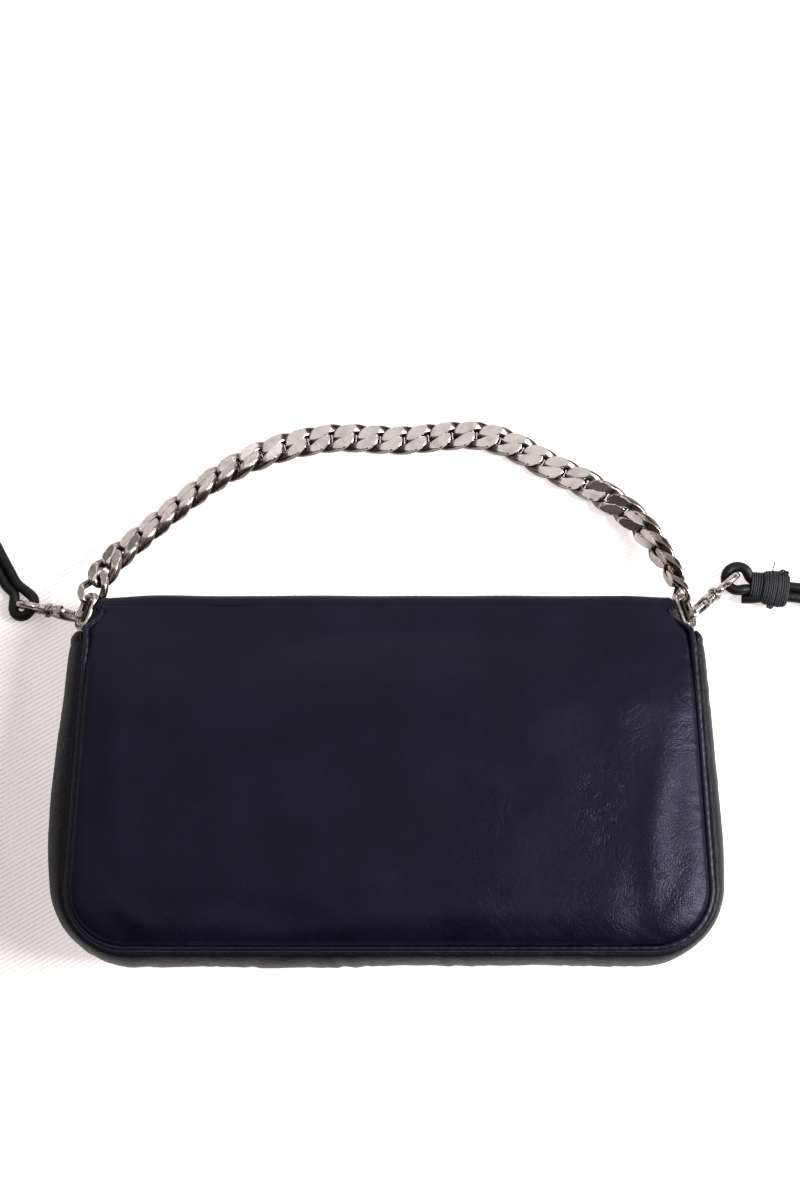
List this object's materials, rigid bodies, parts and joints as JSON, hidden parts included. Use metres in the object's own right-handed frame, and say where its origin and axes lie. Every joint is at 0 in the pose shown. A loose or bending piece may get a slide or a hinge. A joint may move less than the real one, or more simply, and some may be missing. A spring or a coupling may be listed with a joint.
{
  "type": "mini baguette bag",
  "caption": "Small wide handbag lying on its folded-over flap, with a curb chain handle between two D-rings and a doubled cord strap on swivel clasps.",
  "frame": {"origin": "on the flap's flat outer face, which the bag lies on, in the middle of the bag's width, 60 mm above its base seam", "axes": "+X to the bag's right as seen from its back, +Y from its base to its top fold, +Z out of its back panel"},
  "size_m": [0.3553, 0.3003, 0.0401],
  "materials": {
    "navy_nappa": "smooth nappa, soft sheen",
    "navy_welt": "turned seam, soft sheen",
    "black_lining": "woven twill",
    "fibre_board": "matt fibre board",
    "satin_nickel": "satin nickel plate",
    "black_cord_hide": "round leather cord",
    "navy_thread": "waxed thread, wound"
  },
  "bodies": {
    "bag": {"back_panel": "navy_nappa", "front_panel": "navy_nappa", "gusset": "navy_nappa", "top_fold": "navy_nappa", "left_ring_tab": "navy_nappa", "right_ring_tab": "navy_nappa", "back_welt": "navy_welt", "front_welt": "navy_welt", "lining": "black_lining", "inner_pocket": "black_lining", "base_board": "fibre_board", "snap_socket": "satin_nickel", "left_ring": "satin_nickel", "right_ring": "satin_nickel", "left_clasp_eye": "satin_nickel", "right_clasp_eye": "satin_nickel", "strap_left_loop": "black_cord_hide", "strap_right_loop": "black_cord_hide", "strap_strand_a": "black_cord_hide", "strap_strand_b": "black_cord_hide", "right_knot": "navy_thread"},
    "flap": {"flap": "navy_nappa", "flap_lining": "black_lining", "snap_stud": "satin_nickel"},
    "chain": {"link_01": "satin_nickel", "link_02": "satin_nickel", "link_03": "satin_nickel", "link_04": "satin_nickel", "link_05": "satin_nickel", "link_06": "satin_nickel", "link_07": "satin_nickel", "link_08": "satin_nickel", "link_09": "satin_nickel", "link_10": "satin_nickel", "link_11": "satin_nickel", "link_12": "satin_nickel", "link_13": "satin_nickel", "link_14": "satin_nickel", "link_15": "satin_nickel", "link_16": "satin_nickel", "link_17": "satin_nickel", "link_18": "satin_nickel", "link_19": "satin_nickel", "link_20": "satin_nickel", "link_21": "satin_nickel", "link_22": "satin_nickel", "link_23": "satin_nickel", "link_24": "satin_nickel", "link_25": "satin_nickel", "link_26": "satin_nickel", "link_27": "satin_nickel", "link_28": "satin_nickel", "link_29": "satin_nickel", "link_30": "satin_nickel"},
    "left_hook": {"left_clasp_hook": "satin_nickel", "left_trigger_pin": "satin_nickel"},
    "left_trigger": {"left_clasp_trigger": "satin_nickel"},
    "right_hook": {"right_clasp_hook": "satin_nickel", "right_trigger_pin": "satin_nickel"},
    "right_trigger": {"right_clasp_trigger": "satin_nickel"}
  },
  "joints": [
    {"name": "flap_fold", "type": "hinge", "parent": "bag", "child": "flap", "pos_m": [0, 0.06315, 0], "axis": [1, 0, 0], "range_deg": [0, 150]},
    {"name": "chain_swing", "type": "hinge", "parent": "bag", "child": "chain", "pos_m": [0, 0.06497, 0.01498], "axis": [1, 0, 0], "range_deg": [0, 33]},
    {"name": "left_clasp_swivel", "type": "hinge", "parent": "bag", "child": "left_hook", "pos_m": [-0.12296, 0.06057, 0.00832], "axis": [-0.9308, 0.2149, -0.2959], "range_deg": [-20, 20]},
    {"name": "left_trigger_press", "type": "hinge", "parent": "left_hook", "child": "left_trigger", "pos_m": [-0.11962, 0.05979, 0.01315], "axis": [0.225, 0.9744, 0], "range_deg": [0, 15], "stiffness_Nm_per_rad": 0.02, "springref_deg": -8.59},
    {"name": "right_clasp_swivel", "type": "hinge", "parent": "bag", "child": "right_hook", "pos_m": [0.12019, 0.0662, 0.00832], "axis": [0.7209, 0.6267, -0.2958], "range_deg": [-20, 20]},
    {"name": "right_trigger_press", "type": "hinge", "parent": "right_hook", "child": "right_trigger", "pos_m": [0.11761, 0.06395, 0.01315], "axis": [0.6561, -0.7547, 0], "range_deg": [0, 15], "stiffness_Nm_per_rad": 0.02, "springref_deg": -8.59}
  ]
}
